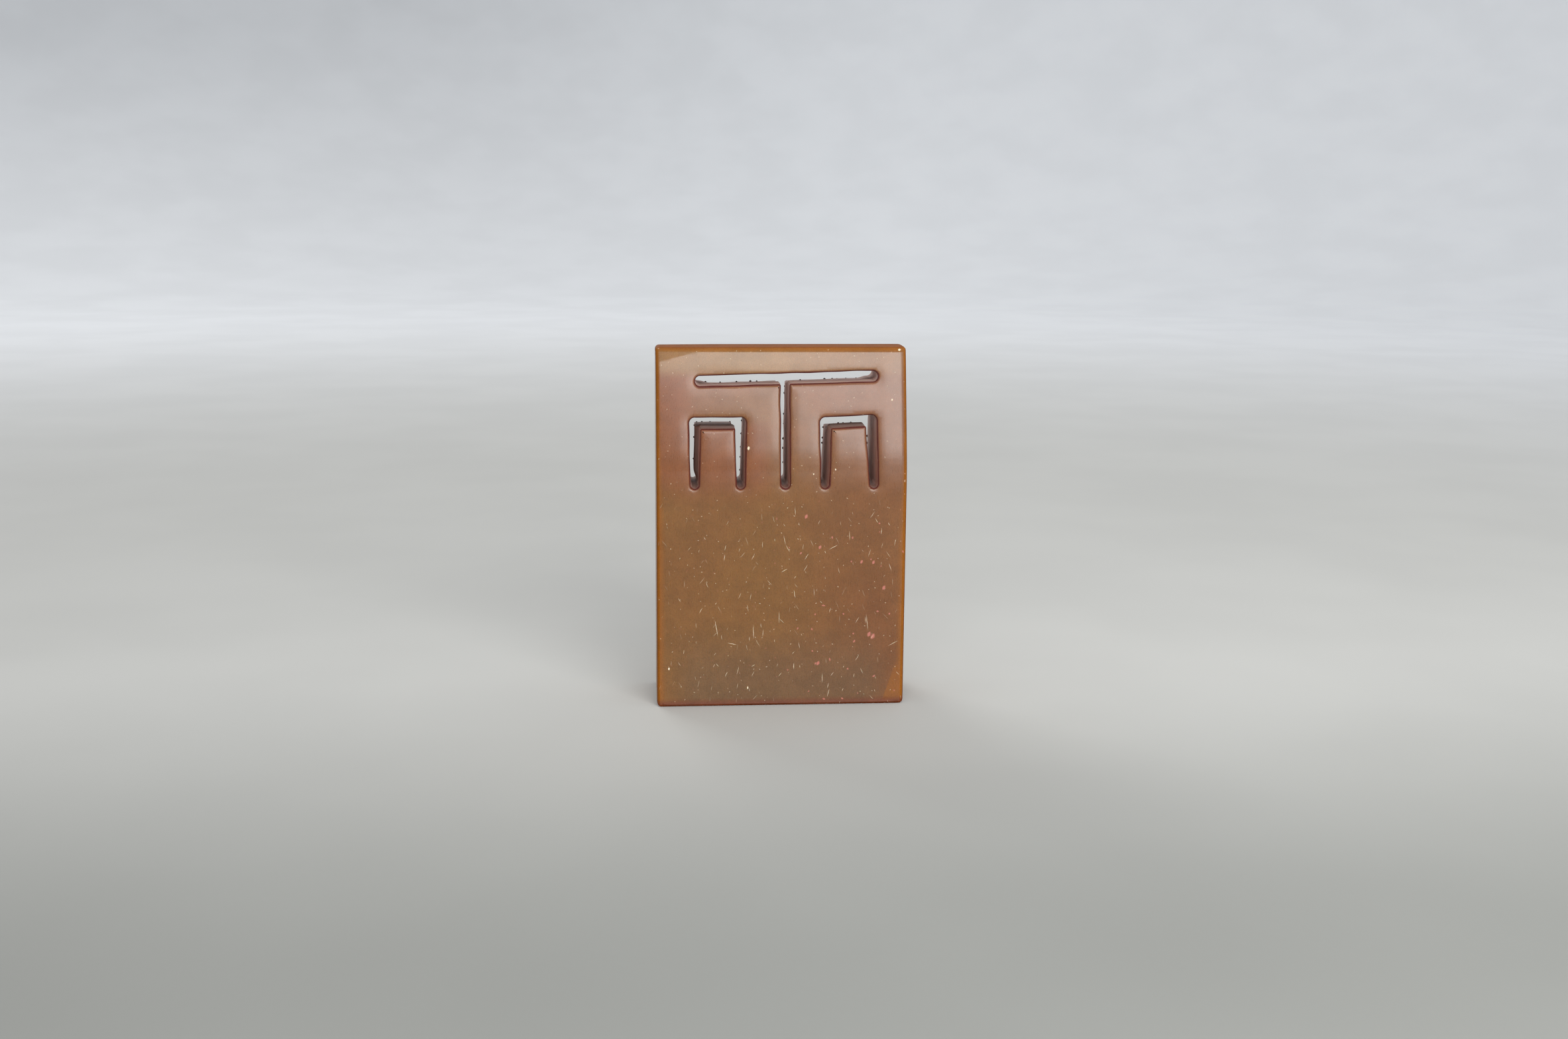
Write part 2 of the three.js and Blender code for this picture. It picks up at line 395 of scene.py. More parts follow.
def engrave_seal_face(stone):
    for column in range(CELLS_ACROSS + 1):
        slice_at(stone, (column * CELL_X - GROUND_WIDTH / 2, 0, 0), (1, 0, 0), is_seal_face)
    for row in range(CELLS_DEEP + 1):
        slice_at(stone, (0, row * CELL_Y - GROUND_LENGTH / 2, 0), (0, 1, 0), is_seal_face)
    pick(stone, "FACE", lambda f: is_seal_face(f) and is_ground(f.calc_center_median()))
    bpy.ops.mesh.extrude_region_move(TRANSFORM_OT_translate={"value": (0, 0, GROUND_DEPTH)})
    pick(stone, "EDGE", is_relief_edge)
    bpy.ops.mesh.bevel(offset=RELIEF_EDGE, segments=RELIEF_EDGE_STRIPS, affect="EDGES", clamp_overlap=True)
    object_mode()
    reach_x = (GROUND_WIDTH + CELL_X) / 2
    reach_y = (GROUND_LENGTH + CELL_Y) / 2
    for vertex in stone.data.vertices:
        in_field = abs(vertex.co.x) < reach_x and abs(vertex.co.y) < reach_y
        if in_field and vertex.co.z < 2 * GROUND_DEPTH:
            sway = noise.noise_vector(Vector((vertex.co.x, vertex.co.y, 0)) * RELIEF_WOBBLE_FREQUENCY)
            vertex.co.x += sway.x * RELIEF_WOBBLE
            vertex.co.y += sway.y * RELIEF_WOBBLE


# The slots. A cut is (from, to, width at from, width at to), with points as (x, z)
def eye_cuts(left, right, bar_rise, right_splay):
    left_top = (left, EYE_HEIGHT)
    right_top = (right, EYE_HEIGHT + bar_rise)
    return [
        (left_top, right_top, EYE_BAR_WIDTH, EYE_BAR_WIDTH),
        ((left, LEG_FOOT_HEIGHT), left_top, LEG_WIDTH, EYE_BAR_WIDTH),
        ((right + right_splay, LEG_FOOT_HEIGHT), right_top, LEG_WIDTH, EYE_BAR_WIDTH),
    ]


BROW_LEFT_END = (BROW_LEFT, BROW_HEIGHT - BROW_RISE / 2)
BROW_RIGHT_END = (BROW_RIGHT, BROW_HEIGHT + BROW_RISE / 2)
CUTS = [
    (BROW_LEFT_END, BROW_RIGHT_END, BROW_WIDTH, BROW_WIDTH),
    ((NOSE_OFFSET, LEG_FOOT_HEIGHT), (NOSE_OFFSET, BROW_HEIGHT), NOSE_WIDTH, NOSE_WIDTH),
    *eye_cuts(LEFT_EYE_OUTER, LEFT_EYE_INNER, 0, 0),
    *eye_cuts(RIGHT_EYE_INNER, RIGHT_EYE_OUTER, RIGHT_EYE_RISE, LEG_SPLAY),
]


def nearest_cut(x, z):
    """The gap from a place on the front to the nearest slot, negative inside it, and the way towards it."""
    nearest = (1.0, Vector((0, 0, 0)))
    for (x0, z0), (x1, z1), width0, width1 in CUTS:
        dx, dz = x1 - x0, z1 - z0
        share = ((x - x0) * dx + (z - z0) * dz) / (dx * dx + dz * dz)
        share = min(1.0, max(0.0, share))
        way = Vector((x0 + share * dx - x, 0, z0 + share * dz - z))
        gap = way.length - (width0 + (width1 - width0) * share) / 2
        if gap < nearest[0]:
            nearest = (gap, way.normalized())
    return nearest


def model_blade(cut):
    """A long blade with round ends that goes right through the stone."""
    (x0, z0), (x1, z1), width0, width1 = cut
    heading = Vector((x1 - x0, 0, z1 - z0))
    length = heading.length
    heading.normalize()
    start = Vector((x0, -BLADE_REACH, z0))
    bpy.ops.object.select_all(action="DESELECT")
    bpy.ops.mesh.primitive_circle_add(
        vertices=BLADE_SIDES, radius=width0 / 2, fill_type="NGON", location=start,
        rotation=(math.pi / 2, math.atan2(x1 - x0, z1 - z0), 0),
    )
    blade = bpy.context.object
    blade.name = "saw_blade"
    settle(blade)
    pick(blade, "VERT", lambda v: (v.co - start).dot(heading) > -0.001 * MM)
    bpy.ops.transform.translate(value=heading * length)
    widen = width1 / width0
    bpy.ops.transform.resize(value=(widen, widen, widen), center_override=start + heading * length)
    pick(blade, "FACE", everything)
    bpy.ops.mesh.extrude_region_move(TRANSFORM_OT_translate={"value": (0, 2 * BLADE_REACH, 0)})
    bpy.ops.mesh.select_all(action="SELECT")
    bpy.ops.mesh.normals_make_consistent(inside=False)
    object_mode()
    return blade


def beside_slots(edge):
    middle = (edge.verts[0].co + edge.verts[1].co) / 2
    return len(edge.link_faces) == 2 and nearest_cut(middle.x, middle.z)[0] < BESIDE_SLOT_REACH


def is_rim(edge):
    facing = sorted(abs(face.normal.y) for face in edge.link_faces)
    return beside_slots(edge) and facing[0] < HARDLY_FACING and facing[1] > MOSTLY_FACING


def is_tongue_corner(edge):
    run = edge.verts[0].co - edge.verts[1].co
    goes_through = abs(run.y) > MOSTLY_FACING * run.length
    return beside_slots(edge) and goes_through and edge.calc_face_angle(0) > TONGUE_CORNER_ANGLE


def saw_slots(stone):
    below_slots = LEG_FOOT_HEIGHT - BELOW_SLOTS_ROOM
    between_slots = (
        (LEFT_EYE_OUTER + LEFT_EYE_INNER) / 2,
        (LEFT_EYE_INNER + NOSE_OFFSET) / 2,
        (NOSE_OFFSET + RIGHT_EYE_INNER) / 2,
        (RIGHT_EYE_INNER + RIGHT_EYE_OUTER) / 2,
    )
    slice_at(stone, (0, 0, below_slots), (0, 0, 1))
    slice_at(stone, (0, 0, (BROW_HEIGHT + EYE_HEIGHT) / 2), (0, 0, 1))
    for x in between_slots:
        slice_at(stone, (x, 0, 0), (1, 0, 0), lambda f: f.calc_center_median().z > below_slots)
    for cut in CUTS:
        combine(stone, model_blade(cut), "DIFFERENCE")
    weld(stone, SLOT_WELD)
    for wanted, roll in (
        (is_tongue_corner, TONGUE_ROLL),
        (lambda e: is_rim(e) and e.verts[0].co.y < 0, RIM_ROLL),
        (lambda e: is_rim(e) and e.verts[0].co.y > 0, REAR_ROLL),
    ):
        pick(stone, "EDGE", wanted)
        bpy.ops.mesh.bevel(
            offset=roll, segments=ROLL_STRIPS, affect="EDGES", clamp_overlap=False, loop_slide=False
        )
    object_mode()
    for face in stone.data.polygons:
        gap = nearest_cut(face.center.x, face.center.z)[0]
        is_wall = gap < WALL_REACH and abs(face.normal.y) < WALL_FACING
        face.material_index = SAWN_SLOT if is_wall else POLISHED_SLOT
        if is_inside_seal(face.center):
            face.material_index = STAINED_SLOT


def is_inside_seal(place):
    within = abs(place.x) < HALF_WIDTH - SEAL_MARGIN and abs(place.y) < HALF_DEPTH - SEAL_MARGIN
    return within and place.z < SEAL_REACH


def lay_grid(stone):
    """Rows of cuts all over the stone, above the seal face, so that its faces can be worn and bent."""
    def above_seal(face):
        return face.calc_center_median().z > 0.5 * GROUND_DEPTH and face.material_index != STAINED_SLOT

    def about_slots(face):
        return face.calc_center_median().z > LEG_FOOT_HEIGHT - PILLOW_REACH - LEG_WIDTH

    for direction, low, high, step, where in (
        (Vector((1, 0, 0)), -HALF_WIDTH, HALF_WIDTH, GRID_STEP, above_seal),
        (Vector((0, 1, 0)), -HALF_DEPTH, HALF_DEPTH, GRID_STEP, above_seal),
        (Vector((0, 0, 1)), 0, HEIGHT, GRID_STEP, above_seal),
        (Vector((1, 0, 0)), -HALF_WIDTH, HALF_WIDTH, UPPER_GRID_STEP, about_slots),
        (Vector((0, 0, 1)), LEG_FOOT_HEIGHT - PILLOW_REACH, HEIGHT, UPPER_GRID_STEP, about_slots),
    ):
        for i in range(1, int((high - low) / step) + 1):
            slice_at(stone, direction * (low + (i - GRID_OFFSET) * step), direction, where)
    for side in (-1, 1):
        for share in CORNER_ARC_SHARES:
            foot_place = side * (HALF_WIDTH - FOOT_CORNER_RADIUS * share)
            top_place = side * (TOP_HALF_WIDTH - TOP_CORNER_RADIUS * share)
            slice_at(stone, (foot_place, 0, 0), (1, 0, 0))
            slice_at(stone, (top_place, 0, 0), (1, 0, 0), about_slots)
    slice_at(stone, (0, MEETING_DEPTH, 0), (0, 1, 0), lambda f: f.material_index == SAWN_SLOT)
    for height in (CORNER_FACET_LEVEL, CORNER_FACET_LEVEL + CORNER_FACET_EDGE):
        slice_at(stone, (-HALF_WIDTH, 0, height), (-CORNER_FACET_RUN, 0, 1))
    weld(stone, GRID_WELD)


def corner_facet_height(x):
    """Where the small facet at the top left corner starts."""
    return CORNER_FACET_LEVEL + CORNER_FACET_RUN * (x + HALF_WIDTH)


def rear_drift(x, y, z):
    """How a place in the rear half of a slot's wall lies off the line of its front half."""
    drift = Vector((0, 0, 0))
    tongue_top = EYE_HEIGHT - EYE_BAR_WIDTH / 2
    if z < EYE_HEIGHT:
        rise = ease((z - SHOULDER_HEIGHT) / (tongue_top - SHOULDER_HEIGHT))
        if LEFT_EYE_OUTER < x < LEFT_EYE_INNER:
            drift.z -= LEFT_TONGUE_DROP * rise
            from_left = (x - LEFT_EYE_OUTER) / (LEFT_EYE_INNER - LEFT_EYE_OUTER)
            overhang = ease(1.6 - 2 * from_left) * ease((z - LEG_FOOT_HEIGHT) / LEG_WIDTH)
            drift.x -= TONGUE_OVERHANG * overhang
        if RIGHT_EYE_INNER < x < RIGHT_EYE_OUTER:
            drift.z -= RIGHT_TONGUE_DROP * rise
    elif z < BROW_HEIGHT:
        along = ease((x - BROW_LEFT) / BROW_WIDTH) * ease((BROW_RIGHT - x) / BROW_WIDTH)
        drift.z -= BROW_DROP * along * ease(1 + (z - BROW_HEIGHT + BROW_WIDTH) / DROP_REACH)
    low = LEG_FOOT_HEIGHT - LEG_WIDTH - DROP_REACH
    drift.z -= FOOT_DROP * ease((SHOULDER_HEIGHT - z) / DROP_REACH) * ease((z - low) / DROP_REACH)
    return drift * ease((y - MEETING_DEPTH) / REAR_RUN)


def round_corner(across, up, radius):
    """Bring back onto the arc of a corner a point that stands across and up from the arc's middle."""
    reach = math.hypot(across, up)
    if across > 0 and up > 0 and reach > radius:
        return across * radius / reach, up * radius / reach
    return across, up


def worn(place, gap):
    """Where polishing and handling have taken a point of the block that lies this far from a slot."""
    x, y, z = place
    from_side = half_width_at(z) - abs(x)
    from_top = HEIGHT - z
    sink = FACE_CROWN * (max(0, 1 - from_side / CROWN_REACH) ** 2 + max(0, 1 - from_top / CROWN_REACH) ** 2)
    edge_fall = RIGHT_EDGE_FALL if x > 0 else LEFT_EDGE_FALL
    sink += edge_fall * max(0, 1 - from_side / EDGE_FALL_REACH) ** 3
    sink += CORNER_FACET_SLOPE * max(0, z - corner_facet_height(x))
    lean = min(1.0, max(0.0, (z - SHOULDER_HEIGHT) / (HEIGHT - SHOULDER_HEIGHT)))
    sink -= (LEAN_BULGE - LEAN_TWIST * x / HALF_WIDTH) * 4 * lean * (1 - lean)
    sink += PILLOW_DEPTH * max(0, 1 - max(0, gap) / PILLOW_REACH) ** 2
    depth_share = abs(y) / half_depth_at(z)
    y -= sink * y / half_depth_at(z)
    x -= math.copysign(FACE_CROWN * depth_share ** 4 * max(0, 1 - from_side / CROWN_REACH), x)
    if from_top < CROWN_REACH:
        z -= TOP_CROWN * depth_share ** 2 * (1 - from_top / CROWN_REACH)

    middle = HALF_WIDTH - FOOT_CORNER_RADIUS
    across, down = round_corner(abs(x) - middle, FOOT_CORNER_RADIUS - z, FOOT_CORNER_RADIUS)
    x = math.copysign(middle + across, x)
    z = FOOT_CORNER_RADIUS - down
    radius = TOP_CORNER_RADIUS * (1 - REAR_CORNER_SHARPNESS * ease(y / TOP_HALF_DEPTH))
    middle = TOP_HALF_WIDTH - radius
    across, up = round_corner(abs(x) - middle, z + radius - HEIGHT, radius)
    return Vector((math.copysign(middle + across, x), y, HEIGHT - radius + up))


def wear_stone(stone):
    for vertex in stone.data.vertices:
        gap, way = nearest_cut(vertex.co.x, vertex.co.z)
        hold = ease((WOBBLE_REACH - gap) / (WOBBLE_REACH - RIM_ROLL))
        moved = worn(vertex.co, gap) + rear_drift(*vertex.co)
        if hold > 0:
            shift = Vector((0, SAW_WOBBLE_SHIFT if vertex.co.y > MEETING_DEPTH else 0, 0))
            push = noise.noise_vector((vertex.co + shift) * SAW_WOBBLE_FREQUENCY) * SAW_WOBBLE * hold
            moved += Vector((push.x, 0, push.z))
        if gap < RIDGE_REACH:
            from_meeting = abs(vertex.co.y - MEETING_DEPTH) / half_depth_at(vertex.co.z)
            moved += way * MEETING_RIDGE * max(0, 1 - from_meeting)
        vertex.co = moved


def chip_edges(stone):
    """Small bites along the edges of the foot and a few on the upright edges."""
    dice = random.Random(CHIP_SEED)
    places = []
    for side in (-1, 1):
        x = CHIP_MARGIN - HALF_WIDTH
        while x < HALF_WIDTH - CHIP_MARGIN:
            places.append(Vector((x, side * (HALF_DEPTH - FOOT_EDGE_RADIUS), CHIP_LEVEL)))
            x += CHIP_STEP * dice.uniform(*CHIP_STEP_SPREAD)
        for level in EDGE_CHIP_LEVELS:
            z = level + dice.uniform(*EDGE_CHIP_SPREAD) * MM
            places.append(Vector((side * half_width_at(z), -HALF_DEPTH, z)))
    chips = []
    for place in places:
        turn = [dice.uniform(0, math.pi) for axis in range(3)]
        chips.append((place, dice.uniform(*CHIP_RADII) * MM, turn))
    combine(stone, join_balls(chips), "DIFFERENCE")


def crumb_places():
    """Places and radii of crumbs along the rear rims, at random on both sides of each cut."""
    dice = random.Random(CRUMB_SEED)
    places = []
    for (x0, z0), (x1, z1), width0, width1 in CUTS:
        run = Vector((x1 - x0, 0, z1 - z0))
        across = Vector((z1 - z0, 0, x0 - x1)).normalized()
        along = CRUMB_STEP * dice.uniform(*CRUMB_START_SPREAD)
        while along < run.length:
            share = along / run.length
            half = (width0 + (width1 - width0) * share) / 2
            side = dice.choice((-1, 1, 1))
            place = Vector((x0, 0, z0)) + run * share + across * side * half
            place.y = half_depth_at(place.z) - dice.uniform(*CRUMB_DEPTHS) * MM
            if nearest_cut(place.x, place.z)[0] > -CRUMB_SLACK:
                places.append((place + rear_drift(*place), dice.uniform(*CRUMB_RADII) * MM))
            along += CRUMB_STEP * dice.uniform(*CRUMB_STEP_SPREAD)
    return places


def leave_crumbs(stone):
    """Dark crumbs of old dirt that cling to the rear rims of the slots."""
    places = crumb_places()
    combine(stone, join_balls([(place, radius, (0, 0, 0)) for place, radius in places]), "UNION")
    points = stone.data.vertices
    for face in stone.data.polygons:
        for place, radius in places:
            reach = CRUMB_OVERSIZE * radius
            if all((points[index].co - place).length < reach for index in face.vertices):
                face.material_index = DIRT_SLOT


def is_rubbed(face):
    """Whether handling has dulled a face: on the top, an upright edge or the edge of the foot."""
    on_top = face.center.z > HEIGHT - RUBBED_TOP_REACH
    beside_edge = abs(face.center.x) > HALF_WIDTH - RUBBED_EDGE_REACH
    on_side_edge = beside_edge and 0.4 < abs(face.normal.x) < 0.996
    on_foot_edge = face.center.z < FOOT_EDGE_RADIUS and -0.95 < face.normal.z < -0.2
    return on_top or on_side_edge or on_foot_edge


def model_stone():
    stone = model_block()
    engrave_seal_face(stone)
    saw_slots(stone)
    lay_grid(stone)
    wear_stone(stone)
    chip_edges(stone)
    leave_crumbs(stone)
    for face in stone.data.polygons:
        if face.material_index == POLISHED_SLOT and is_rubbed(face):
            face.material_index = RUBBED_SLOT
    # How far each point lies on the roll of a slot's rim, for the painted shade there
    rim_shade = stone.data.attributes.new("rim_shade", "FLOAT", "POINT")
    for vertex in stone.data.vertices:
        gap = nearest_cut(vertex.co.x, vertex.co.z)[0]
        rim_shade.data[vertex.index].value = min(1.0, max(0.0, 1 - gap / RIM_ROLL))
    return stone


def model_paste():
    """The dried film: the ground's outline, pulled in from the walls, thickened and left lumpy underneath."""
    bpy.ops.object.select_all(action="DESELECT")
    bpy.ops.mesh.primitive_grid_add(
        x_subdivisions=PASTE_PARTS_PER_CELL * CELLS_ACROSS, y_subdivisions=PASTE_PARTS_PER_CELL * CELLS_DEEP,
        size=1, location=(0, 0, GROUND_DEPTH - PASTE_SEAT),
    )
    film = bpy.context.object
    film.name = "dried_seal_paste"
    film.scale = (GROUND_WIDTH, GROUND_LENGTH, 1)
    settle(film)
    pick(film, "FACE", lambda f: not is_ground(f.calc_center_median()))
    bpy.ops.mesh.delete(type="FACE")
    pick(film, "FACE", everything)
    bpy.ops.mesh.inset(thickness=PASTE_CLEARANCE, use_even_offset=True, use_boundary=True)
    bpy.ops.mesh.select_all(action="INVERT")
    bpy.ops.mesh.delete(type="FACE")
    pick(film, "FACE", everything)
    bpy.ops.mesh.extrude_region_move(TRANSFORM_OT_translate={"value": (0, 0, -PASTE_THICKNESS)})
    bpy.ops.mesh.select_all(action="SELECT")
    bpy.ops.mesh.normals_make_consistent(inside=False)
    object_mode()
    for vertex in film.data.vertices:
        if vertex.co.z < GROUND_DEPTH - PASTE_THICKNESS / 2:
            lump = noise.fractal(vertex.co * PASTE_LUMP_FREQUENCY, 0.8, 2.0, 3)
            vertex.co.z -= PASTE_LUMPS * ease(0.5 + lump)
    apply_modifier(film, "SUBSURF", levels=1, render_levels=1)
    return film


# Node work: small wrappers round the shader nodes
def feed(tree, made, inputs):
    """Give a node its inputs: each is a value, or the output socket that feeds it."""
    for key, value in inputs.items():
        if isinstance(value, bpy.types.NodeSocket):
            tree.links.new(value, made.inputs[key])
        else:
            made.inputs[key].default_value = value


def node(tree, kind, inputs=None, **settings):
    made = tree.nodes.new(kind)
    made.location = (220 * (len(tree.nodes) % 12), -260 * (len(tree.nodes) // 12))
    for key, value in settings.items():
        setattr(made, key, value)
    feed(tree, made, inputs or {})
    return made


def maths(tree, operation, *values):
    return node(tree, "ShaderNodeMath", dict(enumerate(values)), operation=operation).outputs[0]


def times(tree, *factors):
    """The product of all the factors."""
    product, *others = factors
    for factor in others:
        product = maths(tree, "MULTIPLY", product, factor)
    return product


def most(tree, *values):
    """The largest of all the values."""
    largest, *others = values
    for value in others:
        largest = maths(tree, "MAXIMUM", largest, value)
    return largest


def vector_maths(tree, operation, *values):
    return node(tree, "ShaderNodeVectorMath", dict(enumerate(values)), operation=operation).outputs[0]


def apart(tree, vector):
    """The X, Y and Z of a vector."""
    return node(tree, "ShaderNodeSeparateXYZ", {0: vector}).outputs


def fade(tree, value, start, end, low=0.0, high=1.0):
    """Smoothly from low at start to high at end."""
    inputs = {"Value": value, "From Min": start, "From Max": end, "To Min": low, "To Max": high}
    return node(tree, "ShaderNodeMapRange", inputs, interpolation_type="SMOOTHSTEP").outputs[0]


def tint(tree, share, below, above, mode="MIX"):
    inputs = {0: share, 6: below, 7: above}
    return node(tree, "ShaderNodeMix", inputs, data_type="RGBA", blend_type=mode).outputs[2]


def shaded(tree, body, level):
    """A colour made lighter or darker by a level around 1."""
    grey = node(tree, "ShaderNodeCombineColor", {0: level, 1: level, 2: level}).outputs[0]
    return tint(tree, 1.0, body, grey, "MULTIPLY")


def clouds(tree, place, size, detail=3.0, roughness=0.5, stretch=(1, 1, 1)):
    """Noise whose blotches are about size millimetres wide."""
    if stretch != (1, 1, 1):
        place = vector_maths(tree, "MULTIPLY", place, stretch)
    inputs = {"Vector": place, "Scale": 1 / size, "Detail": detail, "Roughness": roughness}
    return node(tree, "ShaderNodeTexNoise", inputs).outputs["Fac"]


def new_group(name, inputs, outputs):
    group = bpy.data.node_groups.new(name, "ShaderNodeTree")
    for socket, kind in inputs.items():
        group.interface.new_socket(socket, in_out="INPUT", socket_type=kind)
    for socket in outputs:
        group.interface.new_socket(socket, in_out="OUTPUT", socket_type="NodeSocketFloat")
    return group, group.nodes.new("NodeGroupInput").outputs


def placed(tree, group, inputs):
    """The outputs of a node group set into a tree with its own values."""
    return node(tree, "ShaderNodeGroup", inputs, node_tree=group).outputs


def build_stroke():
    """One short bent stroke with pointed ends around the zero of Offset."""
    inputs = dict.fromkeys(("Lean", "Length", "Width", "Bend"), "NodeSocketFloat")
    group, given = new_group("stroke", {"Offset": "NodeSocketVector", **inputs}, ["Mask"])
    turned = node(
        group, "ShaderNodeVectorRotate", {"Vector": given["Offset"], "Angle": given["Lean"]},
        rotation_type="Z_AXIS",
    ).outputs[0]
    parts = apart(group, turned)
    along = maths(group, "DIVIDE", parts["Y"], times(group, given["Length"], 0.5))
    along_squared = times(group, along, along)
    across = maths(group, "ABSOLUTE", maths(group, "MULTIPLY_ADD", along_squared, given["Bend"], parts["X"]))
    half_width = times(group, given["Width"], 0.5)
    room = times(group, maths(group, "SUBTRACT", 1.0, along_squared), half_width)
    softness = times(group, given["Width"], 0.3)
    mask = maths(group, "DIVIDE", maths(group, "SUBTRACT", room, across), softness)
    clamped = node(group, "ShaderNodeClamp", {0: mask}).outputs[0]
    node(group, "NodeGroupOutput", {"Mask": clamped})
    return group


def build_scattered_strokes(stroke):
    """Many strokes or specks, one at most in each cell, with their own place, lean and length."""
    inputs = dict.fromkeys(("Cell", "Length", "Width", "Lean Spread", "Chance"), "NodeSocketFloat")
    group, given = new_group("scattered_strokes", {"Place": "NodeSocketVector", **inputs}, ["Mask"])
    scale = maths(group, "DIVIDE", 1.0, given["Cell"])
    voronoi = node(
        group, "ShaderNodeTexVoronoi", {"Vector": given["Place"], "Scale": scale},
        voronoi_dimensions="2D", feature="F1",
    )
    offset = vector_maths(group, "SUBTRACT", given["Place"], voronoi.outputs["Position"])
    luck = node(group, "ShaderNodeSeparateColor", {0: voronoi.outputs["Color"]}).outputs
    lean = times(group, maths(group, "SUBTRACT", luck[0], 0.5), given["Lean Spread"])
    length = times(group, given["Length"], maths(group, "ADD", luck[1], 0.3))
    bend = times(group, maths(group, "SUBTRACT", luck[1], 0.8), given["Width"])
    inputs = {"Offset": offset, "Lean": lean, "Length": length, "Width": given["Width"], "Bend": bend}
    mask = placed(group, stroke, inputs)["Mask"]
    wanted = maths(group, "LESS_THAN", luck[2], given["Chance"])
    node(group, "NodeGroupOutput", {"Mask": times(group, mask, wanted)})
    return group


def build_stone_figure():
    """What every face of the stone shares: slow clouds of colour, mottling, fine grain and a slow ripple."""
    outputs = ["Cloud", "Mottle", "Grain", "Ripple"]
    group, given = new_group("stone_figure", {"Place": "NodeSocketVector"}, outputs)
    place = given["Place"]
    cloud = fade(group, clouds(group, place, 20, 3.0, 0.45), 0.3, 0.7)
    mottle = fade(group, clouds(group, place, 3.5, 4.0, 0.6), 0.3, 0.7, 0.92, 1.08)
    grain = clouds(group, place, 0.22, 2.0, 0.7)
    ripple = clouds(group, place, 5.5, 1.0)
    node(group, "NodeGroupOutput", {"Cloud": cloud, "Mottle": mottle, "Grain": grain, "Ripple": ripple})
    return group


def start_material(name):
    """An empty material with a Principled shader; gives its tree, the shader and places in millimetres."""
    material = bpy.data.materials.new(name)
    material.use_nodes = True
    tree = material.node_tree
    shader = tree.nodes["Principled BSDF"]
    coordinates = node(tree, "ShaderNodeTexCoord").outputs
    place = vector_maths(tree, "MULTIPLY", coordinates["Object"], (1 / MM, 1 / MM, 1 / MM))
    return material, tree, shader, place


def facing_of(tree):
    """How far the surface faces along X, Y and Z."""
    return apart(tree, node(tree, "ShaderNodeTexCoord").outputs["Normal"])


def bumped(tree, height, depth, strength=1.0, below=None):
    inputs = {"Height": height, "Distance": depth, "Strength": strength}
    if below is not None:
        inputs["Normal"] = below
    return node(tree, "ShaderNodeBump", inputs).outputs[0]


# How light goes into the stone
STONE_IOR = 1.57
STONE_GLOW = {"IOR": STONE_IOR, "Subsurface Radius": (1.0, 0.35, 0.12), "Subsurface Scale": 1.6 * MM}

# Colours of the stone, of the dirt and of the paste, some of which paint shade, glow or sheen, as shares of
# red, green and blue light given back
OLIVE_BROWN = (0.232, 0.103, 0.027, 1)
RUSSET_BROWN = (0.213, 0.080, 0.026, 1)
ROSE_BROWN = (0.260, 0.105, 0.050, 1)
GREY_BROWN = (0.170, 0.096, 0.047, 1)
AMBER_AND_GLOW = (0.305, 0.104, 0.013, 1)
FOOT_RED = (0.180, 0.045, 0.018, 1)
RIM_SHADE_AND_PORE_RED = (0.120, 0.022, 0.014, 1)
SCRATCH_CREAM = (0.92, 0.78, 0.56, 1)
FLECK_PINK = (0.60, 0.21, 0.16, 1)
SAWN_GREY = (0.64, 0.46, 0.40, 1)
SAWN_BROWN = (0.48, 0.22, 0.15, 1)
EDGE_SHADE_BROWN = (0.120, 0.024, 0.004, 1)
TOP_BROWN = (0.250, 0.080, 0.018, 1)
WARM_BROWN_AND_SHADE = (0.245, 0.076, 0.024, 1)
PAINTED_SHEEN_BROWN = (0.380, 0.240, 0.100, 1)
DIRT_AND_SHADE = (0.030, 0.018, 0.012, 1)
PASTE_BRIGHT = (0.50, 0.045, 0.018, 1)
PASTE_DARK = (0.20, 0.014, 0.01, 1)

# The plainest scratches on the front, in millimetres and degrees: x, z, length, lean to the right, strength
SCRATCHES = (
    (0.4, 31.3, 2.0, -11, 0.7),
    (1.0, 29.7, 1.7, -28, 0.8),
    (0.4, 25.6, 1.6, 60, 0.9),
    (2.3, 21.2, 1.7, -11, 1.0),
    (-0.5, 16.8, 2.6, 0, 0.8),
    (-5.2, 14.1, 3.0, -2, 1.0),
    (-9.1, 11.9, 1.9, -78, 1.0),
    (-12.0, 14.9, 3.5, -10, 1.0),
    (15.8, 15.7, 3.6, -7, 0.8),
    (12.3, 32.0, 2.1, -3, 0.7),
    (9.4, 29.9, 2.2, 63, 0.8),
    (20.7, 11.6, 2.4, 62, 0.7),
    (7.6, 5.2, 2.2, -1, 0.8),
    (2.3, 7.5, 1.4, 0, 1.0),
    (2.3, 36.6, 1.8, -5, 0.7),
    (-5.2, 7.7, 0.9, 54, 0.8),
)

# The largest flecks of old paste caught in the front, in millimetres: x, z, size
FLECKS = (
    (4.3, 35.6, 0.7),
    (6.9, 29.9, 0.6),
    (14.6, 27.1, 0.6),
    (16.8, 27.0, 0.6),
    (18.8, 22.2, 0.7),
    (16.2, 13.4, 0.8),
    (16.9, 13.0, 0.9),
    (6.8, 8.0, 0.7),
)

# Small pale nicks, in millimetres: x, z, size
NICKS = (
    (-6.2, 48.1, 0.55),
    (20.0, 56.6, 0.35),
    (9.6, 44.2, 0.3),
    (5.6, 43.4, 0.28),
    (22.4, 42.0, 0.4),
    (-20.7, 7.3, 0.45),
    (-6.2, 3.5, 0.4),
)

# Painted highlights on the front corners of the top, drawn as small pale nicks, in millimetres: x, z, size
CORNER_GLINTS = (
    (-22.3, 65.7, 0.4),
    (21.5, 65.45, 0.45),
)
FLECK_STRETCH = 1.5
FLECK_LEAN = 25
FLECK_STRENGTH = 0.9
SCRATCH_WIDTH = 0.13
SCRATCH_SHARE = 0.75

